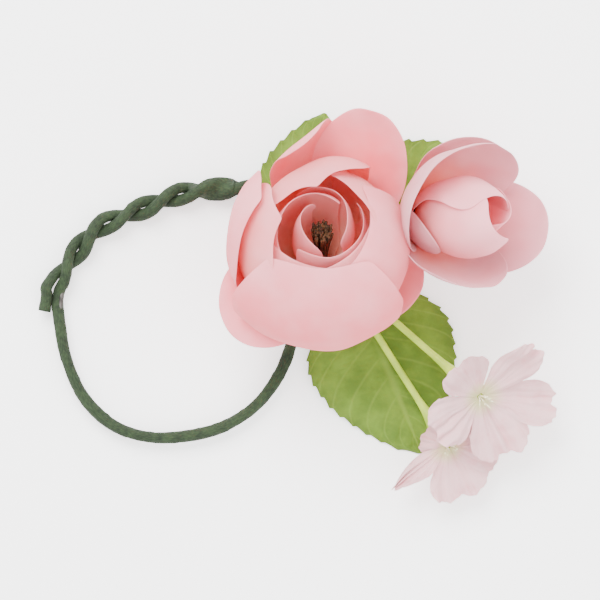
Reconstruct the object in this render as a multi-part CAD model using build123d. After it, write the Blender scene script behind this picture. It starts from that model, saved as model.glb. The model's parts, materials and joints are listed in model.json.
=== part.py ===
from build123d import *
from build123d import SkipClean
import os
from math import cos, degrees, radians, sin, tan

# Small bendable flower ring: two taped wires twisted into a loop, with a rose, a rose bud,
# two blossoms and three leaves bound to its right-hand side.
# Millimetres. The origin is the centre of the loop, in its mid-plane; +Z is the side the
# flowers face; +X runs from the loop towards the bud.

# ---- driving dimensions ----
STRAND_R = 1.5          # a wire with its tape wound on
WIRE_R = 0.6            # the bare wire
TAPE_GAP = 0.05         # between a wire and its tape
TWIST_R = 1.68          # how far each twisted strand runs from their shared centre line
TWIST_PITCH = 20.5      # length of one turn of the twist
TWIST_TURNS = 3.5       # whole turns before the strands run side by side into the binding

HUB_X, HUB_LOW_Y, HUB_HIGH_Y = 33.0, 2.0, 18.0    # the taped bundle under the rose
HUB_WIDTH, HUB_HEIGHT = 9.0, 5.4
STRAND_END_LOW_Y, STRAND_END_HIGH_Y = 7.5, 12.5   # how far the strands reach into the bundle

STEM_R = 1.1                    # the taped stems of the rose and the bud
FOOT_R, FOOT_GAP = 1.2, 0.3     # a stem's rounded foot and the gap round it where it bends
PETAL_T = 0.5                   # cloth of a petal
LEAF_T = 0.5                    # cloth of a leaf
FIT = 0.05                      # gap between pieces that are glued together

# The loop, by hand, from the bundle round the far side of the opening.
LOOP_ROUTE = [
    (HUB_X, STRAND_END_LOW_Y), (HUB_X, 1), (31.2, -7), (27.6, -17.2), (20.8, -26), (11.6, -31.4),
    (0.6, -33.6), (-9.6, -33.3), (-18.2, -29.4), (-24.8, -22.2), (-28.8, -12.6), (-30.4, -2.6),
]
TAIL_END = (-34.3, -0.3)        # the cut end that stands off outside the loop
# The centre line that both strands wind round, from the tail to the bundle.
TWIST_ROUTE = [
    (-30.9, 7.4), (-26.6, 14.2), (-21, 21.4), (-13.4, 24.6), (-6.4, 27.4), (1.4, 30.6),
    (10, 31.7), (18.4, 32), (25.6, 29.4), (31, 24.4), (HUB_X, 18.6), (HUB_X + 0.01, STRAND_END_HIGH_Y),
]

# Where each stem's foot sits on the bundle.
SIDE_X = HUB_X + 5
FEET = {
    "rose": (36.2, 10, 3.6),
    "blossom_front": (SIDE_X, 6.8, 0.4),
    "blossom_back": (SIDE_X, 3.6, 0.4),
    "leaf_large": (SIDE_X, 10, -0.2),
    "leaf_left": (30.4, 15.2, 3.5),
    "leaf_right": (SIDE_X, 16.4, 0.2),
}
# The bud's wire leaves the bundle here and bends at its elbow, close under the calyx.
BUD_WIRE_ROUTE = [(HUB_X + 3.6, 13.2, 0.4), (46, 16.8, 1.2), (53.6, 21.2, 4.4), (59.4, 23.4, 8.4)]
BUD_ELBOW = BUD_WIRE_ROUTE[-1]


def flower_plane(base, lean_deg, towards_deg):
    """A flower's own frame: its axis leans from straight up towards a compass direction."""
    lean, towards = radians(lean_deg), radians(towards_deg)
    axis = (sin(lean) * cos(towards), sin(lean) * sin(towards), cos(lean))
    side = Vector(0, 1, 0).cross(Vector(*axis))    # over the ring's +X, as nearly as the lean allows
    return Plane(origin=base, x_dir=side, z_dir=axis)


ROSE = flower_plane((38, 11, 9.5), 20, 90)
BUD = flower_plane((63.5, 24.5, 13), 35, 6)
BLOSSOM_FRONT = flower_plane((79, -22, 10.2), 28, -43)
BLOSSOM_BACK = flower_plane((71, -35, 3.8), 12, -63)


# ---- the taped wires ----
def smooth_path(points):
    """Straight runs joined by the largest tangent arcs that their lengths allow."""
    route = [Vector(*p) for p in points]
    arcs = []
    for before, here, after in zip(route, route[1:], route[2:]):
        run_in, run_out = here - before, after - here
        half_turn = radians(run_in.get_angle(run_out)) / 2
        arcs.append(0.45 * min(run_in.length, run_out.length) / tan(half_turn))
    return FilletPolyline(*route, radius=arcs)


def twisted(start_phase):
    """Points of one strand of the pair: a left-handed twist, then straight into the bundle."""
    centre = smooth_path([(x, y, 0) for x, y in TWIST_ROUTE])
    end_of_twist = TWIST_TURNS * TWIST_PITCH
    steps = round(8 * TWIST_TURNS)
    stations = [i * end_of_twist / steps for i in range(steps + 1)] + [centre.length]
    points = []
    for s in stations:
        turned = start_phase - 360 * min(s, end_of_twist) / TWIST_PITCH
        at, along = centre.position_at(s / centre.length), centre.tangent_at(s / centre.length)
        outward = Vector(-along.Y, along.X, 0)
        side, rise = TWIST_R * cos(radians(turned)), TWIST_R * sin(radians(turned))
        points.append(at + outward * side + Vector(0, 0, rise))
    return points


def rod(path, outer, bore=0.0):
    """A round section swept along a path, hollow if it has a bore."""
    section = Circle(outer) - Circle(bore) if bore else Circle(outer)
    return sweep(Plane(origin=path @ 0, z_dir=path % 0) * section, path=path)


def ring_parts():
    tail = [(*TAIL_END, -0.6), (-33.4, 4, -0.4)]
    routes = {
        "twist_wire": tail + twisted(0),
        "loop_wire": [(x, y, 0) for x, y in LOOP_ROUTE] + twisted(180),
    }
    made, strands = {}, []
    for name, route in routes.items():
        path = smooth_path(route)
        made[name] = rod(path, WIRE_R)
        made[name + "_tape"] = rod(path, STRAND_R, WIRE_R + TAPE_GAP)
        strands.append(rod(path, STRAND_R + FIT))
        print(name, "length", round(path.length, 1))
    bundle = Plane.XZ.offset(-HUB_LOW_Y) * Pos(HUB_X, 0) * SlotOverall(HUB_WIDTH, HUB_HEIGHT)
    bundle = extrude(bundle, -(HUB_HIGH_Y - HUB_LOW_Y))
    for strand in strands:
        bundle -= strand
    for foot in FEET.values():
        bundle -= Pos(*foot) * Sphere(FOOT_R + FOOT_GAP)
    bud_wire = smooth_path(BUD_WIRE_ROUTE)
    made["bud_stem_lower"] = rod(bud_wire, STEM_R) - Pos(*BUD_ELBOW) * Sphere(FOOT_R + FOOT_GAP)
    made["flower_binding_tape"] = bundle - rod(bud_wire, STEM_R + FIT)
    return made


# ---- stems ----
def stem(foot, route, radius):
    """A wire stem: a rounded foot where it bends, then a rod."""
    points = [foot] + route
    path = smooth_path(points) if len(points) > 2 else Line(*points)
    return Plane(origin=foot, z_dir=path % 0) * Sphere(FOOT_R) + rod(path, radius)


# ---- petals ----
def cloth_section(foot, belly, rim):
    """A petal's section, as thick as its cloth, along the arc through three (radius, height) points."""
    outer = Plane.XZ * ThreePointArc(foot, belly, rim)
    middle, shrink = outer.arc_center, (outer.radius - PETAL_T) / outer.radius
    inner = ThreePointArc(*[middle + (outer @ t - middle) * shrink for t in (0, 0.5, 1)])
    return make_face([outer, Line(outer @ 1, inner @ 1), inner, Line(inner @ 0, outer @ 0)])


def petal_shell(frame, azimuth, half_span, foot, belly, rim, half_width):
    """One cupped petal, as (radius, height) of its foot, belly and rim about the flower's axis."""
    height = rim[1] - foot[1]
    facing = Plane(origin=(0, 0, foot[1] + 0.46 * height), x_dir=(0, 1, 0), z_dir=(1, 0, 0))
    outline = Rot(0, 0, azimuth) * extrude(facing * Ellipse(half_width, 0.57 * height), 60)
    half = revolve(cloth_section(foot, belly, rim), Axis.Z, revolution_arc=half_span)
    with SkipClean():    # the crease down the middle stays, so the cup is meshed closely on each side
        shell = Rot(0, 0, azimuth - half_span) * half + Rot(0, 0, azimuth) * half
        return frame * (shell & outline)


def turned(frame, profile):
    """A solid of revolution about a flower's axis, from (radius, height) corners."""
    face = make_face(Polyline([(r, 0, h) for r, h in profile], close=True))
    return frame * revolve(face, Axis.Z)


# azimuth, half span, foot, belly, rim, half width: the rose's petals, from outside in
ROSE_OUTER = [
    (222, 23.5, (6.4, 0.1), (20, 2.6), (31, 9.5), 14),
    (345, 27, (6.4, 0.1), (17, 1.2), (27.5, 5), 12),
    (277, 31, (6.4, 1.4), (25.5, 13), (16, 33.5), 15),
    (333, 24, (6.4, 2.2), (19.8, 13), (17.5, 31.5), 12),
    (64, 21.5, (6.4, 1.4), (21.5, 12), (33.5, 33), 14),
    (106, 20.5, (6.4, 1.4), (19, 12), (27.5, 32), 12),
    (162.5, 35, (6.4, 1.4), (22, 12), (24.5, 31), 15),
]
ROSE_MIDDLE = [
    (190, 32, (5.7, 3.1), (19, 15), (17, 33), 12),
    (252, 29, (5.7, 3.1), (18, 15), (13.2, 31), 11),
    (312, 30, (5.7, 3.1), (17.6, 15), (13.4, 31), 11),
    (17, 33, (5.7, 3.1), (16, 15), (16.4, 32), 12),
    (100, 47, (5.7, 3.1), (15.5, 14), (19, 32), 13),
]
ROSE_WHORL = [
    (150, 75, (4.9, 3.1), (12, 16), (10.5, 31), 13),
    (285, 75, (4.2, 3.1), (10.6, 16), (9.2, 30), 12),
    (40, 75, (3.5, 3.1), (9.2, 16), (8, 29), 11),
    (190, 75, (2.8, 3.1), (7.4, 15), (6, 28), 9),
]


def rose_parts():
    made = {"rose_stem": stem(FEET["rose"], [(38, 10.3, 7.6)], STEM_R)}
    calyx = turned(ROSE, [(0, -3), (2.2, -3), (6, 0), (6, 3), (0, 3)])
    made["rose_calyx"] = calyx - made["rose_stem"]
    made["rose_heart"] = turned(ROSE, [(0, 3.05), (1.9, 3.05), (2.4, 20), (1.6, 23), (0, 23.6)])
    for layer, petals in (("outer", ROSE_OUTER), ("middle", ROSE_MIDDLE), ("whorl", ROSE_WHORL)):
        for number, petal in enumerate(petals, 1):
            made[f"rose_{layer}_petal_{number}"] = petal_shell(ROSE, *petal)
    return made


BUD_OUTER = [
    (145, 27.5, (4.9, 0.2), (12.5, 9), (18.5, 27), 11),
    (62, 34, (4.9, 0.6), (15.5, 9), (21.5, 27), 13),
    (352, 33.5, (4.9, 0.2), (16.5, 8), (24.8, 25), 13),
    (275, 42, (4.9, 0.6), (14.5, 9), (18, 25), 13),
    (205, 27, (4.9, 0.2), (11.8, 9), (14, 24), 9),
]
BUD_INNER = [
    (215, 70, (4.2, 3.1), (11, 15), (5.5, 29.5), 10),
    (90, 70, (3.5, 3.1), (9.6, 15), (4.6, 28.4), 9.5),
    (330, 70, (2.8, 3.1), (8.2, 15), (3.6, 27.2), 8.5),
]


def bud_parts():
    made = {"bud_stem_upper": stem(BUD_ELBOW, [(62.6, 24.4, 11.8)], STEM_R)}
    calyx = turned(BUD, [(0, -3), (1.8, -3), (4.6, 0), (4.6, 3), (0, 3)])
    made["bud_calyx"] = calyx - made["bud_stem_upper"]
    made["bud_core"] = turned(BUD, [(0, 3.05), (1.9, 3.05), (4.2, 10), (4.2, 17), (2, 22), (0, 23)])
    for layer, petals in (("outer", BUD_OUTER), ("inner", BUD_INNER)):
        for number, petal in enumerate(petals, 1):
            made[f"bud_{layer}_petal_{number}"] = petal_shell(BUD, *petal)
    return made


# ---- blossoms ----
def corolla(frame, reach, cup):
    """Five rounded lobes cut from one shallow dish of cloth."""
    dish = revolve(cloth_section((1.4, 1), (0.6 * reach, 1.2 + 0.3 * cup), (reach, 1 + cup)), Axis.Z)
    lobes = Circle(0.3 * reach)
    for number in range(5):
        lobes += Rot(0, 0, 72 * number + 20) * Pos(0.56 * reach, 0) * Ellipse(0.46 * reach, 0.34 * reach)
    return frame * (dish & extrude(lobes, 3 * reach))


def blossom_parts(name, frame, route, reach, cup):
    made = {f"{name}_stem": stem(FEET[name], route, 0.9)}
    calyx = turned(frame, [(0, -5), (1.2, -5), (3, 0.6), (0, 0.6)])
    made[f"{name}_calyx"] = calyx - made[f"{name}_stem"]
    made[f"{name}_corolla"] = corolla(frame, reach, cup)
    pistil = turned(frame, [(0, 0.65), (1.4, 0.65), (1.4, 0.9), (0.6, 1.3), (0.5, 5), (0, 5.4)])
    for number in range(6):
        filament = Rot(0, 0, 60 * number) * Rot(0, 14, 0) * Pos(0.7, 0, 3.4) * Cylinder(0.22, 5)
        pistil += frame * filament
    made[f"{name}_stamens"] = pistil
    return made


# ---- leaves ----
def leaf_parts(name, base, towards_deg, length, half_width, drop, stem_route):
    """An oval blade that bends down to its tip, on a wire that runs on under it as the midrib."""
    bend = length ** 2 / (2 * drop)
    at = Plane(origin=base, x_dir=(cos(radians(towards_deg)), sin(radians(towards_deg)), 0))
    side = Spline((0, 0), (0.12 * length, 0.62 * half_width), (0.36 * length, half_width),
                  (0.72 * length, 0.66 * half_width), (length, 0))
    outline = extrude(make_face([side, mirror(side, Plane.XZ)]), length, both=True)
    lie = Pos(0, 0, -bend) * Rot(90, 0, 0)
    sheet = lie * (Cylinder(bend, 3 * half_width) - Cylinder(bend - LEAF_T, 3 * half_width))
    blade = at * (outline & sheet)
    rib_r = 0.6
    rib = bend - LEAF_T - FIT - rib_r
    rib_arc = Plane.XZ * CenterArc((0, -bend), rib, 90, -degrees(0.6 * length / rib))
    rib_path = at * rib_arc
    wire = rod(rib_path, rib_r) + stem(FEET[name], stem_route + [rib_path @ 0], rib_r)
    return {f"{name}_blade": blade, f"{name}_stem": wire}


def all_parts():
    made = ring_parts()
    made |= rose_parts()
    made |= bud_parts()
    made |= blossom_parts("blossom_front", BLOSSOM_FRONT,
                          [(46.5, 6.4, 2), (54.3, -0.2, 2.6), (64.6, -9.2, 3.4), (77.2, -20.3, 6.6)],
                          17.5, 4)
    made |= blossom_parts("blossom_back", BLOSSOM_BACK,
                          [(45, 3.2, 1.4), (51.2, -3.8, 1.4), (59.2, -16.6, 0.8), (70.4, -33.8, 0.4)], 14.5, 2.5)
    made |= leaf_parts("leaf_large", (47, 6, -0.6), -68, 47, 19.5, 2.1, [(42.5, 9, -0.9)])
    made |= leaf_parts("leaf_left", (30.6, 19, 5), 75, 33.5, 12, 0.8, [(30.5, 17.2, 4.2)])
    made |= leaf_parts("leaf_right", (45.5, 24.2, 0), 28, 37, 13, 2.7, [(41, 19.6, -0.6)])
    return made


os.makedirs("parts", exist_ok=True)
for node, solid in all_parts().items():
    export_step(solid, f"parts/{node}.step")
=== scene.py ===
# %% [markdown]
# # A bendable flower ring, dressed
# The CAD model gives every wire, petal and leaf its place and its joints. This lesson puts the
# cloth, the crepe tape and the colours on it. Nothing is moved: each new piece is worked out from
# the CAD piece that it stands for, and all but the sleeves over the hinges ride on the same body,
# and so bend with it.

# %% Load the frame
import json
import math
import random

import bpy
import numpy as np
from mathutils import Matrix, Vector, noise


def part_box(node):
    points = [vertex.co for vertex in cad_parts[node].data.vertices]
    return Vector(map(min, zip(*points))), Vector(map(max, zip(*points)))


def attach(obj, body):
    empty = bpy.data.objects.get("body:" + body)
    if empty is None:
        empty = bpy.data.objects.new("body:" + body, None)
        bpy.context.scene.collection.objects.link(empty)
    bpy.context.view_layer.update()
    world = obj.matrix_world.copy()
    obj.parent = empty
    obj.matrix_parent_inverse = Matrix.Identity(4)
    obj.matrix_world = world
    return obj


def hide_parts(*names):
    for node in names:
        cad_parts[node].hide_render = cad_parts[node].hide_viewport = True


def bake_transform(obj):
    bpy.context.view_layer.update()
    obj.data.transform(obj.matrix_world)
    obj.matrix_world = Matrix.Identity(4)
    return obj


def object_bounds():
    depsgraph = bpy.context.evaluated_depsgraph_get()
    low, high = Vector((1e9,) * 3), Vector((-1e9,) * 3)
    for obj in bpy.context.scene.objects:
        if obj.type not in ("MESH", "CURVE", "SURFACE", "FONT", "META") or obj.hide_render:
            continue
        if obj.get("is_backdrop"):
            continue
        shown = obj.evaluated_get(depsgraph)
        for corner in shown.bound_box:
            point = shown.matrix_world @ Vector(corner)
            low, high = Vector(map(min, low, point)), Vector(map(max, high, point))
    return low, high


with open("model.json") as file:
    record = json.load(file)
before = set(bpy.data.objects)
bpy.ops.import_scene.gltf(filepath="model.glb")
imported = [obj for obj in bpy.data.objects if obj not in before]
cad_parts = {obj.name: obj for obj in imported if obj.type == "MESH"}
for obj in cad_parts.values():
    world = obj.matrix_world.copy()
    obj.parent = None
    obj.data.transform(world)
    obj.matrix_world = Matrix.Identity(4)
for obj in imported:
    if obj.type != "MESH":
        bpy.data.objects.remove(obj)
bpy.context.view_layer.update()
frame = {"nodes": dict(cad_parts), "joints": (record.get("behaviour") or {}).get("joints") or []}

MM = 0.001

# %% [markdown]
# ## Reading places out of the CAD
# A CAD node's place is in its mesh. The spread of its surface gives its directions: a stamen
# bundle is longest along the flower's axis, a flat blossom is thinnest along it. Weighting each
# face by its area keeps a finely meshed corner from pulling the answer.


# %% Where a CAD piece is, and which way it points
def corners_of(node):
    """The corners of a CAD piece, in millimetres."""
    mesh = frame["nodes"][node].data
    flat = np.empty(3 * len(mesh.vertices))
    mesh.vertices.foreach_get("co", flat)
    return flat.reshape(-1, 3) / MM


def faces_of(node):
    """Centres (mm) and areas of a CAD piece's faces."""
    mesh = frame["nodes"][node].data
    centres, areas = np.empty(3 * len(mesh.polygons)), np.empty(len(mesh.polygons))
    mesh.polygons.foreach_get("center", centres)
    mesh.polygons.foreach_get("area", areas)
    return centres.reshape(-1, 3) / MM, areas


def spread_of(node):
    """A piece's middle and its three directions, the longest first."""
    centres, areas = faces_of(node)
    middle = np.average(centres, axis=0, weights=areas)
    away = centres - middle
    _, directions = np.linalg.eigh((away * areas[:, None]).T @ away)
    return middle, directions.T[::-1]


class Place:
    """A flower's own frame: its axis, a side direction and the one across them."""

    def __init__(self, origin, axis, side=None):
        axis = axis / np.linalg.norm(axis)
        side = np.cross((0, 1, 0), axis) if side is None else side
        side = side / np.linalg.norm(side)
        self.origin, self.basis = np.array(origin), np.array([side, np.cross(axis, side), axis])

    def local(self, points):
        return (points - self.origin) @ self.basis.T

    def world(self, points):
        return self.origin + points @ self.basis


def flower_place(node, direction):
    """The frame of a flower, from the piece on its axis; direction 0 is its longest, 2 its thinnest."""
    middle, directions = spread_of(node)
    axis = directions[direction]
    axis = axis if axis[2] > 0 else -axis
    place = Place(middle, axis)
    foot = place.local(corners_of(node))[:, 2].min()
    return Place(middle + place.basis[2] * foot, axis)


ROSE = flower_place("rose_heart", 0)
BUD = flower_place("bud_core", 0)
BLOSSOMS = {name: flower_place(name + "_corolla", 2) for name in ("blossom_front", "blossom_back")}
for title, place in {"rose": ROSE, "bud": BUD, **BLOSSOMS}.items():
    lean = math.degrees(math.acos(place.basis[2][2]))
    print(title, "foot at", place.origin.round(1), "mm, leaning", round(lean, 1), "degrees")

# %% [markdown]
# ## Shader arithmetic that reads like arithmetic
# A material is a graph of nodes. Wrapping one socket in a small class lets an expression such as
# `1 - edge * 0.3` add the Math nodes itself. Colours are blended with Mix nodes only.


# %% A socket that does sums
class Flow:
    """One socket of a material. Sums on it add Math nodes."""

    def __init__(self, tree, socket):
        self.tree, self.socket = tree, socket

    def add(self, kind, out=0, settings=None, sockets=None):
        """Adds any node: its settings first, then the values or links of its sockets."""
        node = self.tree.nodes.new(kind)
        for key, value in (settings or {}).items():
            setattr(node, key, value)
        for key, value in (sockets or {}).items():
            if isinstance(value, Flow):
                self.tree.links.new(value.socket, node.inputs[key])
            else:
                node.inputs[key].default_value = value
        return Flow(self.tree, node.outputs[out])

    def sum(self, operation, *values):
        """A Math node on these values."""
        settings = {"operation": operation}
        return self.add("ShaderNodeMath", 0, settings, dict(enumerate(values)))

    def __add__(self, other):
        return self.sum("ADD", self, other)

    def __sub__(self, other):
        return self.sum("SUBTRACT", self, other)

    def __rsub__(self, other):
        return self.sum("SUBTRACT", other, self)

    def __mul__(self, other):
        return self.sum("MULTIPLY", self, other)

    def __abs__(self):
        return self.sum("ABSOLUTE", self)

    __radd__, __rmul__ = __add__, __mul__

    def between(self, low, high):
        """0 below low, 1 above high, and smooth in between."""
        sockets = {"Value": self, "From Min": low, "From Max": high}
        return self.add("ShaderNodeMapRange", 0, {"interpolation_type": "SMOOTHSTEP"}, sockets)

    def tint(self, low, high):
        """A colour that goes from low to high as this value goes from 0 to 1."""
        return self.add("ShaderNodeMix", 2, {"data_type": "RGBA"}, {0: self, 6: low, 7: high})


def colour(red, green, blue):
    """A colour given as it looks on a screen, 0 to 255, as Blender's linear values."""
    return tuple((c / 255) ** 2.2 for c in (red, green, blue)) + (1.0,)


WHITE = colour(255, 255, 255)


def start(name):
    """A new empty material, and a Flow to begin its expressions with."""
    material = bpy.data.materials.new(name)
    material.use_nodes = True
    material.node_tree.nodes.clear()
    return material, Flow(material.node_tree, None)


def surface(shade, base, roughness, bump, strength, distance, glow=0.0, **constant):
    """Principled cloth, plastic or metal; glow is the share of light that thin cloth lets through."""
    sockets = {"Strength": strength, "Distance": distance * MM, "Height": bump}
    normal = shade.add("ShaderNodeBump", 0, None, sockets)
    sockets = {"Base Color": base, "Roughness": roughness, "Normal": normal}
    for name, value in constant.items():
        sockets[name.replace("_", " ")] = value
    shown = shade.add("ShaderNodeBsdfPrincipled", 0, None, sockets)
    if glow:
        through = shade.add("ShaderNodeBsdfTranslucent", 0, None, {"Color": base})
        shown = shade.add("ShaderNodeMixShader", 0, None, {0: glow, 1: shown, 2: through})
    output = shade.tree.nodes.new("ShaderNodeOutputMaterial")
    shade.tree.links.new(shown.socket, output.inputs["Surface"])


def cloth_map(shade):
    """A piece of cloth's own map, and across and along it, both 0 to 1."""
    mapped = shade.add("ShaderNodeUVMap", 0, {"uv_map": "cloth"})
    across = shade.add("ShaderNodeSeparateXYZ", 0, None, {0: mapped})
    return mapped, across, Flow(shade.tree, across.socket.node.outputs[1])


def spots(shade, scale, detail=3.0, vector=None):
    """Soft random patches, 0 to 1, about so many to the metre, or to one unit of the vector."""
    vector = vector or shade.add("ShaderNodeTexCoord", 3)
    sockets = {"Vector": vector, "Scale": scale, "Detail": detail, "Roughness": 0.55}
    return shade.add("ShaderNodeTexNoise", 0, None, sockets)


def stretched(shade, vector, across, along):
    """A map multiplied across and along, to squeeze a pattern into streaks or threads."""
    settings = {"operation": "MULTIPLY"}
    return shade.add("ShaderNodeVectorMath", 0, settings, {0: vector, 1: (across, along, 1.0)})


def woven(shade, mapped, across, along, direction, distortion=0.0):
    """The ridges of one set of threads, one after another in the X or Y direction of the map."""
    sockets = {"Vector": stretched(shade, mapped, across, along), "Scale": 1.0, "Distortion": distortion}
    return shade.add("ShaderNodeTexWave", 1, {"bands_direction": direction}, sockets)


print("shader helpers ready")

# %% [markdown]
# ## Petal cloth
# The petals are stamped from thin stiffened polyester, dyed deepest at the foot. The salmon-orange
# at the foot is partly that dye and partly painted shade, the shade deep inside the flower. It has a
# fine straight weave, hardly any shine, and it lets light through, which is why the rose glows orange
# between its petals: light crosses several pink layers on its way out. The colour is a blend of dye
# and painted shade along the petal's own map, and part of the light goes through a Translucent shader.


# %% The petals' material
def petal_cloth(name, foot, body, rim, glow):
    """Stiffened petal cloth in three colours from foot to rim; the foot's is partly dye, partly painted
    shade.
    """
    material, shade = start(name)
    mapped, _, along = cloth_map(shade)
    patchy = spots(shade, 260, 4)
    # From the foot colour to the body colour: partly dye, partly painted shade towards the foot, deep in
    # the flower.
    dye_and_shade = (along + (patchy - 0.5) * 0.25).between(0.05, 0.62)
    pale = (along + (patchy - 0.5) * 0.2).between(0.55, 1.0)
    faded = spots(shade, 90, 2).between(0.35, 0.75) * 0.12
    base = faded.tint(pale.tint(dye_and_shade.tint(foot, body), rim), WHITE)
    warp, weft = (woven(shade, mapped, 130, 150, way, 0.6) for way in "XY")
    veins = spots(shade, 1.0, 3, stretched(shade, mapped, 26, 2.2))
    bump = warp * 0.18 + weft * 0.18 + veins * 0.9 + patchy * 0.5
    surface(shade, base, 0.72 + patchy * 0.12, bump, 0.35, 0.25, glow,
            Sheen_Weight=0.15, Specular_IOR_Level=0.3)
    return material


# The first colour of each cloth is its foot's: partly dye, partly painted shade deep in the flower.
ROSE_CLOTH = petal_cloth("rose petal cloth", colour(250, 168, 156), colour(251, 128, 138),
                         colour(248, 156, 166), 0.36)
ROSE_HEART_CLOTH = petal_cloth("rose heart cloth", colour(255, 190, 164), colour(254, 156, 150),
                               colour(250, 164, 170), 0.42)
BUD_CLOTH = petal_cloth("bud petal cloth", colour(246, 142, 128), colour(230, 154, 163),
                        colour(234, 170, 179), 0.34)
BUD_HEART_CLOTH = petal_cloth("bud heart cloth", colour(252, 138, 122), colour(255, 168, 177),
                              colour(255, 182, 192), 0.36)
print("petal cloths:", [m.name for m in bpy.data.materials if "cloth" in m.name])

# %% [markdown]
# ## Blossom cloth
# The two blossoms are cut from a much thinner, crinkled cloth, nearly white, with a blush in the
# folds and a green-white throat. Heat pressing leaves fine creases that fan out from the centre.


# %% The blossoms' material
def blossom_cloth():
    """Thin crinkled cloth, pale pink with a green-white throat and blush in its folds."""
    material, shade = start("blossom cloth")
    mapped, _, along = cloth_map(shade)
    patchy = spots(shade, 300, 4)
    creases = spots(shade, 1.0, 4, stretched(shade, mapped, 22, 1.6))
    base = along.between(0.02, 0.34).tint(colour(218, 214, 160), colour(238, 200, 202))
    blush = (patchy * 0.6 + creases * 0.6).between(0.55, 0.85) * 0.7
    base = blush.tint(base, colour(232, 170, 176))
    bump = creases * 1.4 + woven(shade, mapped, 90, 110, "X") * 0.12 + patchy
    surface(shade, base, 0.78 + patchy * 0.1, bump, 0.5, 0.35, 0.3, Specular_IOR_Level=0.25)
    return material


BLOSSOM_CLOTH = blossom_cloth()
print("made", BLOSSOM_CLOTH.name)

# %% [markdown]
# ## Leaf cloth
# The leaves are printed satin with a pressed midrib and side veins that leave it at a slant. The
# print is a lighter green on the veins and an olive green towards the margin. The same slanted
# bands drive both the colour and the bump.


# %% The leaves' material
def leaf_cloth():
    """Printed green satin with a pressed midrib and slanted side veins."""
    material, shade = start("leaf cloth")
    mapped, across, along = cloth_map(shade)
    off_middle = abs(across - 0.5)
    band = shade.sum("FRACT", along * 8.5 - off_middle * 5.2) - 0.5
    vein = 1 - abs(band).between(0.0, 0.11)
    midrib = 1 - off_middle.between(0.004, 0.03)
    patchy = spots(shade, 130, 5)
    fine = spots(shade, 900, 3)
    mottled = (patchy + fine * 0.25 - 0.12).between(0.3, 0.72)
    rim = off_middle.between(0.3, 0.5) * 0.45
    marks = shade.sum("MAXIMUM", vein * 0.3, midrib * 0.5)
    base = rim.tint(mottled.tint(colour(82, 112, 24), colour(108, 140, 40)), colour(74, 92, 18))
    base = marks.tint(base, colour(128, 156, 56))
    weft = woven(shade, mapped, 120, 170, "Y", 0.4)
    bump = patchy * 0.7 + weft * 0.12 - vein * 0.6 - midrib * 0.9
    surface(shade, base, 0.55 + fine * 0.15, bump, 0.5, 0.3, 0.12, Specular_IOR_Level=0.35)
    return material


LEAF_CLOTH = leaf_cloth()
print("made", LEAF_CLOTH.name)

# %% [markdown]
# ## Tape, plastic, thread and wire
# Florist's tape is waxed crepe paper: it is stretched as it is wound, which leaves fine lengthwise
# wrinkles and a dull, dark green. The blossom stems are moulded plastic, lighter and smoother.


# %% The small finishes
def crepe_tape(name, dark, light):
    """Waxed crepe paper, dull, with wrinkles that run along the wire."""
    material, shade = start(name)
    mapped = cloth_map(shade)[0]
    wrinkles = spots(shade, 1.0, 5, stretched(shade, mapped, 34, 9))
    worn = spots(shade, 420, 4)
    base = (wrinkles * 0.6 + worn * 0.5).between(0.35, 0.75).tint(dark, light)
    surface(shade, base, 0.7 + worn * 0.2, wrinkles + worn * 0.5, 0.7, 0.35, Specular_IOR_Level=0.3)
    return material


def moulded(name, low, high, roughness, scale, metallic=0.0):
    """Plastic, thread or wire: two close colours, and a slightly uneven skin."""
    material, shade = start(name)
    uneven = spots(shade, scale, 4)
    base = uneven.between(0.3, 0.7).tint(low, high)
    surface(shade, base, roughness + uneven * 0.15, uneven, 0.25, 0.15, Metallic=metallic)
    return material


RING_TAPE = crepe_tape("dark green crepe tape", colour(24, 34, 21), colour(48, 62, 40))
STEM_TAPE = crepe_tape("stem tape", colour(16, 20, 14), colour(34, 42, 28))
STEM_PLASTIC = moulded("light green stem plastic", colour(152, 184, 44), colour(178, 206, 62), 0.4,
                       180)
LEAF_WIRE = moulded("coated leaf wire", colour(90, 118, 34), colour(116, 144, 50), 0.5, 300)
HEART_THREAD = moulded("brown stamen thread", colour(40, 24, 12), colour(96, 64, 36), 0.7, 900)
THROAT_THREAD = moulded("cream stamen thread", colour(214, 208, 160), colour(240, 236, 205), 0.6, 900)
IRON_WIRE = moulded("annealed iron wire", colour(58, 56, 54), colour(92, 90, 86), 0.45, 600, 0.9)
print("materials:", len(bpy.data.materials))

# %% [markdown]
# ## A sheet of cloth from a grid of points
# Every petal, leaf and blossom is one thin sheet. A grid of points gives the shape, the same grid
# gives the map that the weave follows, and Solidify gives the cloth its thickness. The flat size is
# what the cloth measures across its widest row and along its middle column, which is how it was
# cut. A blossom is cut round, and measures twice its longest lobe.


# %% Cloth pieces
PETAL_THICK, LEAF_THICK, BLOSSOM_THICK = 0.22, 0.35, 0.18   # mm
SMALLEST_SHARE = 0.301   # of the flat rectangle that a cut piece may fill


def joined(name, points, quads, uvs, material):
    """A mesh object in metres from points in millimetres, with the cloth's map."""
    mesh = bpy.data.meshes.new(name)
    mesh.from_pydata([tuple(p * MM) for p in points], [], quads)
    layer = mesh.uv_layers.new(name="cloth")
    for loop in mesh.loops:
        layer.data[loop.index].uv = uvs[loop.vertex_index]
    mesh.shade_smooth()
    mesh.materials.append(material)
    piece = bpy.data.objects.new(name, mesh)
    bpy.context.scene.collection.objects.link(piece)
    return piece


def grid_quads(rows, columns, first=0):
    """The faces between the points of a grid."""
    quads = []
    for row in range(rows - 1):
        for column in range(columns - 1):
            at = first + row * columns + column
            quads.append((at, at + 1, at + columns + 1, at + columns))
    return quads


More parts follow.
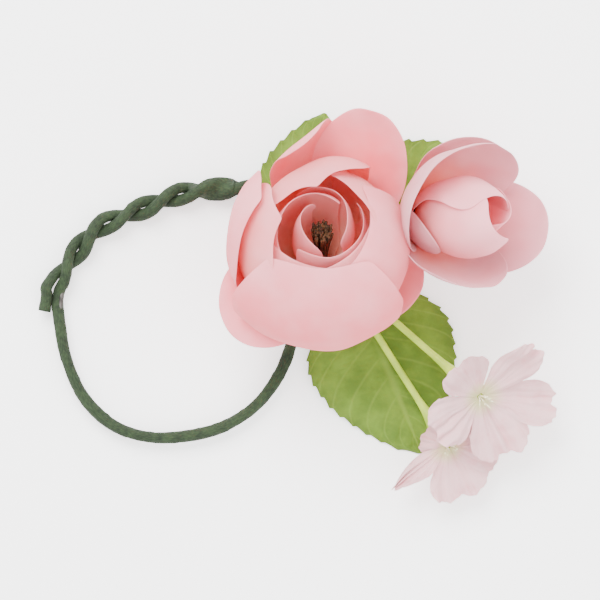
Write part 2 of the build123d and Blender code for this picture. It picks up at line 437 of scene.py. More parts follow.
def normals_of(grid):
    """The direction square to a grid of points at each of them."""
    across, along = np.gradient(grid, axis=1), np.gradient(grid, axis=0)
    square = np.cross(across, along)
    return square / np.maximum(np.linalg.norm(square, axis=2, keepdims=True), 1e-9)


def stacked(*parts):
    """A grid of points from its three coordinates, of which some may be one row or one column."""
    return np.stack(np.broadcast_arrays(*parts), axis=2)


def crumple(grid, size, seed):
    """Smooth random values over a grid, for creases about so many millimetres apart."""
    shift = Vector((seed * 3.1, seed * 1.7, seed * 5.3))
    return np.array([[noise.noise(Vector(p) / size + shift) for p in row] for row in grid])


def cloth_piece(name, grids, thickness, material, body, node):
    """One sheet from its grids, thickened; returns its flat width and length in mm."""
    points, quads, uvs = [], [], []
    widest, longest = 0.0, 0.0
    for grid in grids:
        rows, columns = grid.shape[:2]
        quads += grid_quads(rows, columns, len(points))
        points += list(grid.reshape(-1, 3))
        uvs += [(c / (columns - 1), r / (rows - 1)) for r in range(rows) for c in range(columns)]
        widest = max(widest, np.linalg.norm(np.diff(grid, axis=1), axis=2).sum(axis=1).max())
        longest = max(longest, np.linalg.norm(np.diff(grid[:, columns // 2], axis=0), axis=1).sum())
    piece = joined(name, points, quads, uvs, material)
    area = sum(face.area for face in piece.data.polygons)
    if len(grids) > 1:   # lobes that meet in the middle of one round piece
        widest = longest = 2 * longest
    flat = (widest * MM, longest * MM)
    solid = piece.modifiers.new("cloth thickness", "SOLIDIFY")
    solid.thickness, solid.offset = thickness * MM, 0
    smooth = piece.modifiers.new("soft", "SUBSURF")
    smooth.levels = smooth.render_levels = 1
    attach(piece, body)
    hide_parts(node)
    share = min(max(area / (flat[0] * flat[1]), SMALLEST_SHARE), 1.0)
    share * flat[0] * flat[1]
    return flat[0] / MM, flat[1] / MM


print("cloth helpers ready")

# %% [markdown]
# ## Petals
# Each CAD petal is a plain cupped shell, so its corners, taken as radius and height about the
# flower's axis, lie on one arc. Fitting a circle to them gives back that arc, with its azimuth and
# its half width. The cloth petal starts from these. Its looks then shape it:
#
# - path: foot, belly and rim as (radius, height) in mm, where the cloth leaves the plain arc
# - widen, foot and round_off: its width over the CAD petal's, how much of that width the foot has,
#   and how far its corners drop
# - turn, skew and twist: degrees about the flower's axis, more of it at the rim, and about itself
# - wrap, spiral and span: its bend's radius over the distance from the axis (above 1 is flatter),
#   how much it coils, and the widest half angle
# - lean, curl, shift and point: how far the rim moves out, rolls out, moves aside or comes to a tip
# - crease and ruffle: how deep the creases and how wavy the edges are


# %% Where a petal's cloth runs
CURL_START = 0.72      # how far along a petal its rim begins to roll out
TIGHTEST_BEND = 2.0    # mm


def turned(angle):
    """An angle brought to between minus and plus half a turn."""
    return (angle + math.pi) % (2 * math.pi) - math.pi


def circle_through(radius, height):
    """The centre and size of the circle that best fits points given as radius and height."""
    unknowns = np.c_[2 * radius, 2 * height, np.ones_like(radius)]
    fit = np.linalg.lstsq(unknowns, radius ** 2 + height ** 2, rcond=None)[0]
    return fit[:2], math.sqrt(fit[2] + fit[0] ** 2 + fit[1] ** 2)


def petal_arc(place, node):
    """Azimuth (radians), half width (mm) and the arc (centre, size, end angles) of a CAD petal."""
    centres, areas = faces_of(node)
    middle = np.average(place.local(centres), axis=0, weights=areas)
    azimuth = math.atan2(middle[1], middle[0])
    x, y, height = place.local(corners_of(node)).T
    radius = np.hypot(x, y)
    half_width = (radius * np.abs(turned(np.arctan2(y, x) - azimuth))).max()
    centre, size = circle_through(radius, height)
    angle = np.arctan2(height - centre[1], radius - centre[0])
    mean = math.atan2(np.sin(angle).mean(), np.cos(angle).mean())
    swing = turned(angle - mean)
    return azimuth, half_width, (centre, size, (mean + swing.min(), mean + swing.max()))


def arc_through(*path):
    """The arc (centre, size, end angles) through foot, belly and rim, each (radius, height)."""
    radius, height = np.array(path, float).T
    centre, size = circle_through(radius, height)
    foot, belly, rim = np.arctan2(height - centre[1], radius - centre[0])
    return centre, size, (belly + turned(foot - belly), belly + turned(rim - belly))


def petal_grid(place, node, seed, path=None, widen=1.0, turn=0.0, skew=0.0, wrap=1.0, lean=0.0,
               curl=0.0, twist=0.0, shift=(0, 0), point=0.0, ruffle=0.5, spiral=0.0, foot=0.42,
               round_off=0.42, span=180, crease=0.7, rows=30, columns=31):
    """World points (mm) of one petal's cloth, rows from foot to rim, columns across it."""
    azimuth, half_width, (centre, size, ends) = petal_arc(place, node)
    if path:
        centre, size, ends = arc_through(*path)
    x = np.linspace(-1, 1, columns)[None, :]
    v = np.linspace(0, 1, rows)[:, None]
    across = np.sin(x * math.pi / 2)
    tip = point * v ** 3 * (1 - np.abs(across)) ** 2
    along = v * (1 - round_off * (1 - np.cos(x * math.pi / 2)) + tip)
    reach = ends[0] + (ends[1] - ends[0]) * along
    radius = centre[0] + size * np.cos(reach) + lean * along ** 2
    height = centre[1] + size * np.sin(reach)
    rolled = np.clip((along - CURL_START) / (1 - CURL_START), 0, 1) ** 2
    radius, height = radius + curl * rolled, height - 0.45 * abs(curl) * rolled
    width = half_width * widen * (foot + (1 - foot) * np.sin(v * math.pi / 2) ** 0.9)
    bend = np.maximum(radius, TIGHTEST_BEND) * wrap
    swing = across * np.minimum(width / bend, math.radians(span))
    out = radius - bend + (bend + spiral * swing) * np.cos(swing)
    side = (bend + spiral * swing) * np.sin(swing)
    sine, cosine = math.sin(math.radians(twist)), math.cos(math.radians(twist))
    out, side = out - side * sine * along, side * (1 - (1 - cosine) * along)
    facing = azimuth + np.radians(turn + skew * along ** 2)
    grid = stacked(out * np.cos(facing) - side * np.sin(facing) + shift[0] * along,
                   out * np.sin(facing) + side * np.cos(facing) + shift[1] * along, height)
    edge = np.maximum(np.abs(x) ** 5, v ** 6) * np.minimum(1, 3 * v)
    soft = crease * (crumple(grid, 11.0, seed) + 0.3 * crumple(grid, 4.5, seed + 50))
    lift = soft * np.minimum(1, 2 * v) + ruffle * edge * crumple(grid, 6.5, seed + 100)
    return place.world(grid + normals_of(grid) * lift[:, :, None])


def show_petals(flower, place, outer_cloth, heart_cloth, all_looks):
    """One cloth petal for each of a flower's CAD petals, from its row of looks."""
    for number, (name, looks) in enumerate(all_looks.items()):
        node = flower + "_" + name
        cloth = outer_cloth if name.startswith("outer") else heart_cloth
        grid = petal_grid(place, node, number + len(flower), **looks)
        size = cloth_piece("cloth_" + node, [grid], PETAL_THICK, cloth, flower, node)
        print(f"{node}: {size[0]:.1f} x {size[1]:.1f} mm flat")


print("petal helpers ready")

# %% [markdown]
# ## The rose
# Seven loose outer petals, five that close over the heart, and four coiled ones round the threads.
# No two are alike: the two that reach over the front are wide, with nearly straight rims, and one
# at the top is twisted so that it shows its back.

# %% The rose's petals
rose_looks = {
    "outer_petal_1": dict(path=((6.4, -2.9), (20, 6.5), (31, 3.5)), widen=1.25, ruffle=0.9),
    "outer_petal_2": dict(widen=1.1, ruffle=0.8),
    "outer_petal_3": dict(path=((6.4, -1.6), (27, 9), (11.9, 28.8)), widen=1.9, turn=-9, span=54,
                          round_off=0.09),
    "outer_petal_4": dict(path=((6.4, -0.8), (22.4, 10), (12.2, 28.4)), widen=2.0, turn=10, span=64,
                          round_off=0.1),
    "outer_petal_5": dict(widen=1.15, wrap=0.95, curl=0.5),
    "outer_petal_6": dict(path=((6.4, 0.2), (27, 14), (21.5, 31)), widen=1.15, turn=-6, wrap=1.5,
                          twist=38, crease=0.9),
    "outer_petal_7": dict(path=((6.4, -0.6), (23.4, 11), (19, 29)), widen=1.1, turn=14, skew=-14,
                          point=0.1, span=50, crease=0.8),
    "middle_petal_1": dict(path=((5.7, 0), (21, 13), (13.4, 30.5)), widen=1.6, skew=-10, point=0.1,
                           span=66),
    "middle_petal_2": dict(path=((5.7, 0), (18.5, 12), (11.0, 27.2)), widen=1.6, span=60,
                           round_off=0.12),
    "middle_petal_3": dict(path=((5.7, 0), (18, 12), (10.8, 27.4)), widen=1.6, span=60,
                           round_off=0.12),
    "middle_petal_4": dict(path=((5.7, 0), (19.5, 14), (12.2, 29.2)), widen=1.5, turn=22, span=56,
                           round_off=0.2),
    "middle_petal_5": dict(path=((5.7, 0), (21, 15), (13, 29.8)), widen=1.2, turn=-4, twist=20,
                           point=0.1, span=60, round_off=0.24),
    "whorl_petal_1": dict(spiral=1.4, foot=0.8, round_off=0.14, widen=1.15),
    "whorl_petal_2": dict(spiral=1.4, foot=0.8, round_off=0.14, widen=1.1, turn=25),
    "whorl_petal_3": dict(spiral=1.2, foot=0.8, round_off=0.2, widen=1.1, shift=(0.4, 2.6)),
    "whorl_petal_4": dict(spiral=1.0, foot=0.8, round_off=0.22, shift=(0.5, 3.8)),
}
show_petals("rose", ROSE, ROSE_CLOTH, ROSE_HEART_CLOTH, rose_looks)

# %% [markdown]
# ## The bud
# Five outer petals stand open round an egg of three coiled ones, which leans out of the middle.

# %% The bud's petals
egg_shift = (2, -1.5)   # mm, how far the egg leans
bud_looks = {
    "outer_petal_1": dict(path=((4.9, -2.8), (12.6, 6), (17, 24.5)), widen=1.8, turn=32, skew=-50,
                          twist=-14, point=0.3, crease=0.8),
    "outer_petal_2": dict(widen=1.1, lean=-3.5),
    "outer_petal_3": dict(widen=1.05, lean=-0.8, turn=-6),
    "outer_petal_4": dict(widen=1.2, lean=2.6),
    "outer_petal_5": dict(path=((4.9, -2.8), (10.8, 6), (10.8, 14)), widen=1.2, turn=12),
    "inner_petal_1": dict(path=((4.2, 0), (10.2, 17), (4.6, 30)), spiral=1.0, foot=0.8,
                          round_off=0.3, shift=egg_shift),
    "inner_petal_2": dict(path=((3.5, 0), (9.2, 17), (4.2, 29)), spiral=1.0, foot=0.8,
                          round_off=0.3, shift=egg_shift),
    "inner_petal_3": dict(path=((2.8, 0), (7.8, 16), (3.4, 28)), spiral=0.9, foot=0.8,
                          round_off=0.35, shift=egg_shift),
}
show_petals("bud", BUD, BUD_CLOTH, BUD_HEART_CLOTH, bud_looks)

# %% [markdown]
# ## Leaves
# A leaf is cut with a toothed margin, folded a little along its midrib and bent down to its tip.
# The CAD blade gives its foot, its direction, its length and its bend, and the outline its width.
# The teeth are added only to the outermost columns of the grid, so the blade itself stays smooth.


# %% The leaves
TOOTH_PITCH, TOOTH_DEPTH = 3.4, 0.85   # mm
VEIN_PITCH, VEIN_DEPTH = 5.4, 0.22     # mm
AVERAGED = 19                          # rows that the outline is smoothed over


def leaf_grid(node, outline, fold, curl, seed, rows=190, columns=33):
    """World points (mm) of a leaf blade; outline is its half width along it."""
    middle, directions = spread_of(node)
    length_way = directions[0] if (middle - hub_middle) @ directions[0] > 0 else -directions[0]
    up = directions[2] if directions[2][2] > 0 else -directions[2]
    place = Place(middle, up, length_way)
    points = place.local(corners_of(node))
    stalk_end, length = points[:, 0].min(), np.ptp(points[:, 0])
    bend = np.polynomial.Polynomial.fit(points[:, 0], points[:, 2], 2)
    x = np.linspace(-1, 1, columns)[None, :]
    v = np.linspace(0, 1, rows)[:, None]
    reach = np.sign(x) * (1 - (1 - np.abs(x)) ** 1.4)
    half = np.interp(v[:, 0], *np.array(outline).T)
    window = np.ones(AVERAGED) / AVERAGED
    half = np.convolve(np.pad(half, AVERAGED // 2, "edge"), window, "valid")[:, None]
    half *= np.minimum(1, np.minimum(v * 14, (1 - v) * 16)) ** 0.5
    teeth = ((v * length / TOOTH_PITCH) % 1) ** 1.6 * TOOTH_DEPTH
    along = stalk_end + length * v + 0 * x
    side = reach * half + np.sign(reach) * teeth * np.abs(x) ** 14 * np.minimum(1, half / 4)
    share = np.abs(reach)
    height = bend(along) + fold * share * half * 0.5 - np.where(reach > 0, curl[0], curl[1]) * share ** 3
    off_vein = ((length * v - 0.75 * np.abs(side)) / VEIN_PITCH + 0.5) % 1 - 0.5
    height = height - VEIN_DEPTH * np.exp(-off_vein ** 2 / 0.006) * np.minimum(1, share * 6)
    grid = stacked(along, side, height)
    waves = 0.8 * crumple(grid, 14.0, seed) + 0.35 * crumple(grid, 5.0, seed + 9)
    grid[:, :, 2] += waves * (0.25 + share)
    return place.world(grid)


hub_middle = spread_of("flower_binding_tape")[0]
# Share of the way along, and the half width (mm) there.
broad = [(0, 4), (0.06, 9), (0.15, 14.5), (0.3, 19), (0.42, 19.5), (0.6, 17), (0.78, 11.5),
         (0.9, 6.5), (1, 1.5)]
narrow = [(at, half * 0.64) for at, half in broad]
leaves = {   # outline, fold, and how far the left and right margins curl down (mm)
    "leaf_large": (broad, 0.12, (0.6, 1.2)),
    "leaf_left": (narrow, -0.1, (0.7, 0.7)),
    "leaf_right": (narrow, 0.12, (0.4, 0.8)),
}
for name, looks in leaves.items():
    grid = leaf_grid(name + "_blade", *looks, len(name))
    size = cloth_piece("cloth_" + name, [grid], LEAF_THICK, LEAF_CLOTH, name,
                       name + "_blade")
    print(f"{name}: {size[0]:.1f} x {size[1]:.1f} mm flat")

# %% [markdown]
# ## Blossoms
# A blossom is one stamping with five lobes that meet at the throat. Heat pressing has cupped,
# twisted and creased every lobe differently, and its margin is finely toothed. Each lobe is its own
# grid, and all five go into one piece of cloth.


# %% The blossoms
THROAT = 0.8    # mm, how far from the axis a lobe begins
FLUTE, CREASE, FRAY = 2.2, 2.2, 0.6    # mm, how deep the fan of flutes, the creases and the edge go


def lobe_grid(place, seed, azimuth, reach, half_width, rise, twist, fold, taper=0.0, rows=34,
              columns=41):
    """World points (mm) of one lobe. Its rise is its tip's height, its fold how sharply it is
    folded along the middle, and its taper how far it narrows to a point."""
    x = np.linspace(-1, 1, columns)[None, :]
    v = np.linspace(0, 1, rows)[:, None]
    across = np.sin(x * math.pi / 2)
    notch = 0.1 * np.exp(-(x / 0.16) ** 2) * v ** 4
    along = v * (1 - 0.34 * (1 - np.cos(x * math.pi / 2)) - notch)
    side = across * half_width * (0.16 + 0.84 * np.sin(v * math.pi / 2) ** 1.25) * (1 - taper * v ** 3)
    swing = math.radians(twist) * along
    lift = rise * along ** 1.4 + fold * np.abs(side) * along + 0.04 * side ** 2 * (1 - along)
    out = THROAT + (reach - THROAT) * along
    grid = stacked(out, side * np.cos(swing), lift + side * np.sin(swing) + 0.6)
    fan = crumple(stacked(across * 9, 1.2 * v, 0.0), 2.0, seed)
    frayed = np.maximum(np.abs(x) ** 6, v ** 7) * crumple(stacked(out, side, 0.0), 1.1, seed + 5)
    grid[:, :, 2] += (FLUTE * fan + CREASE * crumple(grid, 5.5, seed + 2)) * along + FRAY * frayed
    grid[:, :, 0] += frayed * v
    sine, cosine = math.sin(math.radians(azimuth)), math.cos(math.radians(azimuth))
    return place.world(grid @ np.array([[cosine, sine, 0], [-sine, cosine, 0], [0, 0, 1]]))


# Azimuth, reach, half width, rise, twist, fold, and for the lobe that ends in a point its taper.
LOBES = {
    "blossom_front": [(54, 20, 5.6, 6.0, 18, 0.05), (-2, 21, 6.0, 3.5, -30, 0.16),
                      (-62, 17.5, 8.0, 5.5, 12, -0.16), (-146, 16.5, 6.8, 2.5, 20, 0.08),
                      (132, 14.5, 7, 4.0, -16, 0.14)],
    "blossom_back": [(-72, 15, 8, 1.5, -10, 0.05), (-8, 14, 7, 1.0, 12, 0.1),
                     (64, 13, 7, 1.0, 8, 0.0), (150, 7.5, 5, 1.5, -12, 0.1),
                     (218, 19, 4.4, 3.5, 35, 0.6, 0.8)],
}
for name, rows in LOBES.items():
    grids = [lobe_grid(BLOSSOMS[name], 20 + 7 * k + len(name), *row) for k, row in enumerate(rows)]
    size = cloth_piece("cloth_" + name, grids, BLOSSOM_THICK, BLOSSOM_CLOTH, name,
                       name + "_corolla")
    print(f"{name}: {size[0]:.1f} x {size[1]:.1f} mm flat")

# %% [markdown]
# ## Tubes: taped wires, sleeves and threads
# Everything round and long here is a ring of points carried along a line. The ring is turned as
# little as possible from one station to the next, so it does not twist, and its radius may change
# with the distance and the direction, which is how the tape's overlapping edges are made.


# %% Rings carried along a line
def tubes(name, lines, radius_at, material, sides=20):
    """Tubes round lines of points (mm); radius_at takes the distance along and the direction round."""
    points, uvs, quads = [], [], []
    round_about = np.linspace(0, 2 * math.pi, sides, endpoint=False)
    for line in lines:
        line, first = np.array(line, float), len(points)
        along = np.gradient(line, axis=0)
        along /= np.linalg.norm(along, axis=1, keepdims=True)
        distance = np.r_[0, np.cumsum(np.linalg.norm(np.diff(line, axis=0), axis=1))]
        side = np.cross(along[0], (0, 0, 1) if abs(along[0][2]) < 0.9 else (1, 0, 0))
        for at, way, gone in zip(line, along, distance):
            side = side - way * (side @ way)
            side /= np.linalg.norm(side)
            other = np.cross(way, side)
            for angle in round_about:
                radius = radius_at(gone, angle)
                points.append(at + radius * (side * math.cos(angle) + other * math.sin(angle)))
                uvs.append((angle / (2 * math.pi), gone / 10))
        for ring in range(len(line) - 1):
            for k in range(sides):
                a, b = (first + ring * sides + corner % sides for corner in (k, k + 1))
                quads.append((a, b, b + sides, a + sides))
        last = first + (len(line) - 1) * sides
        quads.append(tuple(range(first, first + sides))[::-1])
        quads.append(tuple(range(last, last + sides)))
    return joined(name, points, quads, uvs, material)


def smooth_line(corners, step=0.4):
    """The smooth line that a bent wire takes: a quadratic spline on its corners."""
    corners = [np.array(c, float) for c in corners]
    stops = [corners[0]] + [(a + b) / 2 for a, b in zip(corners[1:-2], corners[2:-1])] + [corners[-1]]
    line = []
    for begin, corner, end in zip(stops, corners[1:-1], stops[1:]):
        count = max(2, int(np.linalg.norm(end - begin) / step))
        t = np.linspace(0, 1, count, endpoint=False)[:, None]
        line += list((1 - t) ** 2 * begin + 2 * t * (1 - t) * corner + t ** 2 * end)
    return np.array(line + [corners[-1]])


def wound_tape(radius, overlap, width, seed):
    """The radius of a taped rod: it steps up where the tape overlaps, and it is a little flat."""
    def at(gone, angle):
        turn = (gone / width + angle / (2 * math.pi)) % 1
        step = overlap * ((1 - turn) ** 0.7 - 0.5 + 0.9 * math.exp(-((turn - 0.02) / 0.05) ** 2))
        rough = noise.noise(Vector((gone * 0.8, math.cos(angle) * 1.5, math.sin(angle) * 1.5 + seed)))
        return radius * (1 + 0.05 * math.cos(2 * angle + gone * 0.22 + seed)) + step + 0.07 * rough
    return at


def place_piece(piece, body, slot_name, *nodes):
    """Lets a piece ride on a body, and stand for the CAD pieces named."""
    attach(piece, body)
    if nodes:
        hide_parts(*nodes)


print("tube helpers ready")

# %% [markdown]
# ## The two taped wires
# The ring is two wires, each wound with crepe tape, and one is twisted round the other in a
# left-handed twist along the top. The corners below are the ones that the CAD wires turn at, in
# millimetres; both strands run half a turn apart round the same centre line.

# %% The strands
STRAND_R, TWIST_R = 1.5, 1.6                # mm: of one taped wire, and of the twist it follows
TWIST_PITCH, TWIST_LENGTH = 20.5, 71.75     # mm
loop_route = [(33, 7.5), (33, 1), (31.2, -7), (27.6, -17.2), (20.8, -26), (11.6, -31.4), (0.6, -33.6),
              (-9.6, -33.3), (-18.2, -29.4), (-24.8, -22.2), (-28.8, -12.6), (-30.4, -2.6)]
twist_route = [(-30.9, 7.4), (-26.6, 14.2), (-21, 21.4), (-13.4, 24.6), (-6.4, 27.4), (1.4, 30.6),
               (10, 31.7), (18.4, 32), (25.6, 29.4), (31, 24.4), (33, 18.6), (33, 12.5)]
tail = [(-34.3, -0.3, -0.6), (-33.4, 4, -0.4)]

centre = smooth_line([(x, y, 0) for x, y in twist_route])
gone = np.r_[0, np.cumsum(np.linalg.norm(np.diff(centre, axis=0), axis=1))]
ahead = np.gradient(centre, axis=0)
ahead /= np.linalg.norm(ahead, axis=1, keepdims=True)
outward = np.stack([-ahead[:, 1], ahead[:, 0], ahead[:, 2]], axis=1)


def strand(phase):
    """One strand's line, round the centre line of the twist."""
    angle = np.radians(phase - 360 * np.minimum(gone, TWIST_LENGTH) / TWIST_PITCH)[:, None]
    return centre + TWIST_R * (outward * np.cos(angle) + np.array([0, 0, 1]) * np.sin(angle))


def eased(lead, body):
    """A lead-in of corners that runs smoothly into a line that is already smooth."""
    return np.vstack([smooth_line(lead + [body[0] - (body[1] - body[0]) * 6, body[0]])[:-1], body])


strands = {
    "twist_wire_tape": eased(tail, strand(0)),
    "loop_wire_tape": eased([(x, y, 0) for x, y in loop_route], strand(180)),
}
for seed, (node, line) in enumerate(strands.items()):
    winding = wound_tape(STRAND_R, 0.08, 13.0, seed)
    piece = tubes("taped_" + node.replace("_tape", ""), [line], winding, RING_TAPE, 24)
    place_piece(piece, "ring", "green_tape", node)
    print(node, "runs", round(float(np.linalg.norm(np.diff(line, axis=0), axis=1).sum()), 1), "mm")


# %% [markdown]
# ## Where tape holds several wires
# Near the flowers one more strip of tape is wound round both strands. Under the rose all the stems
# are bound in one bundle. Each flower's wire then bends at the bundle's edge, and a short sleeve of
# tape crosses every hinge.

# %% The wrap round both strands
WRAP_FROM, WRAP_TO, WRAP_MOST = 3.5, 15.6, 2.95   # mm: its two ends along X, its greatest radius
wrap = (centre[:, 0] > WRAP_FROM) & (centre[:, 0] < WRAP_TO)
wrapped, wrap_start = centre[wrap], gone[wrap][0]


def round_both(along_wrap, angle):
    """The outline of a strip pulled tight round two strands side by side."""
    pair = math.radians(-360 * (wrap_start + along_wrap) / TWIST_PITCH)
    c, s = abs(math.cos(angle - pair)), abs(math.sin(angle - pair))
    skin = STRAND_R + 0.1 + 0.18 * min(1, along_wrap / 4)
    flat_side = s > 1e-6 and skin * c / s <= TWIST_R
    tight = skin / s if flat_side else TWIST_R * c + math.sqrt(max(skin ** 2 - (TWIST_R * s) ** 2, 0))
    tape = (along_wrap / 5.5 + angle / (2 * math.pi)) % 1
    rough = noise.noise(Vector((along_wrap * 0.7, math.cos(angle) * 1.4, math.sin(angle) * 1.4)))
    return min(tight, WRAP_MOST) + 0.12 * tape + 0.1 * rough


piece = tubes("wrap_round_both_wires", [wrapped], round_both, RING_TAPE, 36)
place_piece(piece, "ring", "green_tape")
print("wrap round both strands:", WRAP_FROM, "to", WRAP_TO, "mm along X")

# %% The bundle under the rose
low, high = (np.array(c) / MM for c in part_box("flower_binding_tape"))
bundle_x, half_wide, half_high = (low[0] + high[0]) / 2, (high[0] - low[0]) / 2, (high[2] - low[2]) / 2
PAST_END = 0.8   # mm that the tape runs past each end of the bundle


def bundle_outline(along_bundle, angle):
    """A flat, rounded bundle that narrows at both ends, with the tape's overlaps on it."""
    rounded = (abs(math.cos(angle)) / half_wide) ** 2.5 + (abs(math.sin(angle)) / half_high) ** 2.5
    end = min(along_bundle, high[1] - low[1] + 2 * PAST_END - along_bundle) / 2.2
    tape = (along_bundle / 6.0 + angle / (2 * math.pi)) % 1
    rough = noise.noise(Vector((along_bundle * 0.5, math.cos(angle) * 2, math.sin(angle) * 2)))
    narrowed = rounded ** -0.4 * (0.62 + 0.38 * min(1, max(end, 0)) ** 0.5)
    return narrowed + 0.22 * (1 - tape) - 0.1 + 0.25 * rough


bundle_line = [(bundle_x, y, 0) for y in np.linspace(low[1] - PAST_END, high[1] + PAST_END, 60)]
piece = tubes("bundle_tape", [bundle_line], bundle_outline, RING_TAPE, 48)
place_piece(piece, "ring", "green_tape", "flower_binding_tape")
print("bundle:", round(2 * half_wide, 1), "x", round(2 * half_high, 1), "mm")

# %% A sleeve of tape over each hinge
SLEEVE_THICK = {"rose": 1.5, "bud": 1.45}   # mm radius; the others' are below
SLEEVE_THIN = 1.36


def heading(node, hinge):
    """The direction in which a stem leaves a hinge."""
    near = [p for p in corners_of(node) if 2.0 < np.linalg.norm(p - hinge) < 6.0]
    away = np.mean(near, axis=0) - hinge
    return away / np.linalg.norm(away)


for joint in frame["joints"]:
    body, hinge = joint["child"], np.array(joint["pos_m"]) / MM
    if body == "bud":
        way, before = heading("bud_stem_upper", hinge), -heading("bud_stem_lower", hinge)
    else:
        way, before = heading(body + "_stem", hinge), hinge - (centre[-1][0], hinge[1], 0)
        before /= np.linalg.norm(before)
    line = smooth_line([hinge - before * 2.6, hinge - before * 0.4, hinge + way * 0.5,
                        hinge + way * 3.4], 0.15)
    winding = wound_tape(SLEEVE_THICK.get(body, SLEEVE_THIN), 0.1, 3.0, len(body))
    sleeve = tubes("sleeve_" + body, [line], winding, STEM_TAPE, 20)
    tuple((hinge - before * 1.2) * MM)
    tuple((hinge + way * 1.2) * MM)
    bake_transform(sleeve)

# %% [markdown]
# ## Funnels under the blossoms
# A moulded stem widens into a funnel that grips the blossom's throat. The line comes out of the CAD
# stem and turns into the flower's axis. The radius grows faster and faster up to the mouth, which
# it reaches at a little over half the line's length, and stays so for the rest.


# %% The funnels
def funnel_radius(reach):
    """A funnel's radius (mm) along its line, full from 62 percent of its length on."""
    return lambda gone, angle: 0.98 + 1.9 * min(1, gone / (0.62 * reach)) ** 2


for name, place in BLOSSOMS.items():
    stem = corners_of(name + "_stem")
    away = np.linalg.norm(stem - place.origin, axis=1)
    end = stem[away < away.min() + 1.0].mean(axis=0)
    beyond = away > away.min() + 5
    before = stem[beyond & (away < away[beyond].min() + 1.5)].mean(axis=0)
    way, axis = (end - before) / np.linalg.norm(end - before), place.basis[2]
    up = np.array([0, 0, 0.8])
    line = smooth_line([end - way * 12.5, end - way * 8, end - way * 3 + up, place.origin - axis * 3,
                        place.origin + axis * 0.2], 0.3)
    reach = np.linalg.norm(np.diff(line, axis=0), axis=1).sum()
    funnel = tubes("funnel_" + name, [line], funnel_radius(reach), STEM_PLASTIC, 24)
    place_piece(funnel, name, "stem_plastic", name + "_calyx")
    print(name, "funnel", round(float(reach), 1), "mm long")

# %% [markdown]
# ## Stamens
# The rose's heart is a tuft of brown threads, deep in the middle hole. The blossoms have a few pale
# threads. Each thread is thicker near its end.


# %% Threads
SHORTEST = 0.82     # of the tuft's height
BEAD_FROM = 0.93    # of the shortest thread


def tuft(name, place, count, foot, top, height, thick, material, seed, shift=(0, 0)):
    """A bundle of fine threads that spread from a small foot to a wider top."""
    draw = random.Random(seed)
    lines = []
    for _ in range(count):
        angle, share = draw.uniform(0, 2 * math.pi), math.sqrt(draw.random())
        tall, sway = height * draw.uniform(SHORTEST, 1.0), draw.uniform(-0.5, 0.5)
        t = np.linspace(0, 1, 9)
        radius = share * (foot + (top - foot) * t ** 1.5)
        turn = angle + sway * t
        spread = [radius * np.cos(turn) + shift[0] * t, radius * np.sin(turn) + shift[1] * t, tall * t]
        lines.append(place.world(np.stack(spread, axis=1)))
    bead = BEAD_FROM * height * SHORTEST
    return tubes(name, lines, lambda gone, angle: thick * (1 + 0.5 * (gone > bead)), material, 6)


piece = tuft("rose_stamens", ROSE, 80, 1.4, 2.9, 15.5, 0.2, HEART_THREAD, 3, (0.3, 3.6))
place_piece(piece, "rose", "heart_threads", "rose_heart")
for name, place in BLOSSOMS.items():
    piece = tuft("threads_" + name, place, 14, 0.5, 2.2, 5.0, 0.13, THROAT_THREAD, len(name))
    place_piece(piece, name, "stamen_threads", name + "_stamens")
print("tufts done")

# %% [markdown]
# ## CAD pieces that already have the right shape
# The wires, the stems, the rose's and the bud's calyxes and the bud's core keep their CAD meshes.
# They only need a finish.

# %% Finishes of the CAD pieces
finishes = {
    IRON_WIRE: ["twist_wire", "loop_wire"],
    STEM_TAPE: ["rose_stem", "rose_calyx", "bud_stem_lower", "bud_stem_upper", "bud_calyx"],
    STEM_PLASTIC: [name + "_stem" for name in BLOSSOMS],
    LEAF_WIRE: ["leaf_large_stem", "leaf_left_stem", "leaf_right_stem"],
    BUD_HEART_CLOTH: ["bud_core"],
}
for material, nodes in finishes.items():
    for node in nodes:
        mesh = frame["nodes"][node].data
        mesh.materials.clear()
        mesh.materials.append(material)
    print(material.name, "on", ", ".join(nodes))

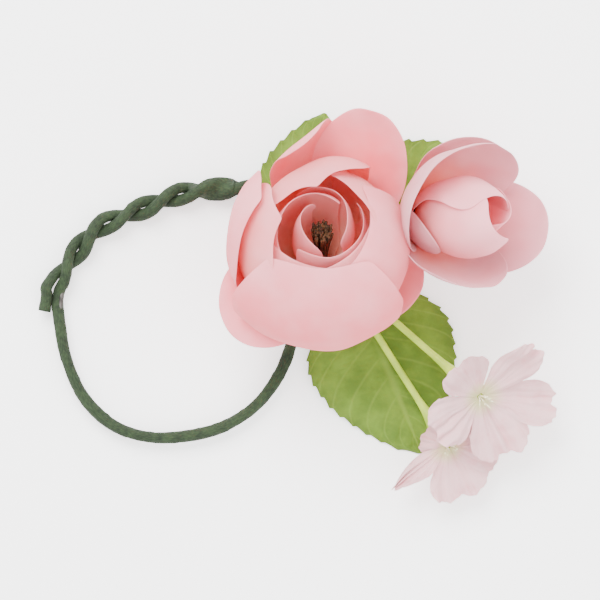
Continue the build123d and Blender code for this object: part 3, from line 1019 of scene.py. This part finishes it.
# %% [markdown]
# ## Floor, light and camera
# The ring lies on a plain pale floor under broad soft light, and the camera looks straight down its
# axis with a long lens, so nothing is foreshortened.


# %% The stage
def floor_finish():
    """Pale and matt, and lit from within so that it stays even."""
    material, shade = start("pale floor")
    mottled = spots(shade, 6, 2)
    surface(shade, mottled.tint((0.93, 0.93, 0.93, 1), (0.96, 0.96, 0.96, 1)), 0.9, mottled, 0.02, 0.1,
            Emission_Color=(1, 1, 1, 1), Emission_Strength=0.9)
    return material


low, high = (np.array(c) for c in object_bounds())
edge = [(-1.5, -1.5), (1.5, -1.5), (1.5, 1.5), (-1.5, 1.5)]
corners = [np.array((x, y, low[2])) / MM for x, y in edge]
floor = joined("floor", corners, [(0, 1, 2, 3)], edge, floor_finish())
floor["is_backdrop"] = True

world = bpy.data.worlds.new("studio")
world.use_nodes = True
world.node_tree.nodes["Background"].inputs["Color"].default_value = (1, 1, 1, 1)
world.node_tree.nodes["Background"].inputs["Strength"].default_value = 2.1
bpy.context.scene.world = world

middle = Vector((low + high) / 2)


def lamp(name, offset, size, power):
    """A square soft lamp, so far (m) from the ring's middle and aimed at it."""
    light = bpy.data.lights.new(name, "AREA")
    light.size, light.energy = size, power
    lamp_object = bpy.data.objects.new(name, light)
    lamp_object.location = middle + Vector(offset)
    lamp_object.rotation_euler = (-Vector(offset)).to_track_quat("-Z", "Y").to_euler()
    bpy.context.scene.collection.objects.link(lamp_object)


lamp("key", (-0.25, 0.55, 0.8), 0.6, 21)
lamp("fill", (0.6, -0.3, 0.7), 0.9, 6)
lamp("overhead", (0.0, 0.0, 1.0), 1.2, 7)

CAMERA_HEIGHT = 1.2                 # m
CAMERA_ASIDE = (0.0008, 0.002)      # m from over the middle
lens = bpy.data.cameras.new("camera")
lens.sensor_width, lens.lens = 36.0, 275.0
camera = bpy.data.objects.new("camera", lens)
camera.location = middle + Vector((*CAMERA_ASIDE, CAMERA_HEIGHT - middle.z))
bpy.context.scene.collection.objects.link(camera)
bpy.context.scene.camera = camera
print("camera above", [round(c / MM, 1) for c in camera.location])
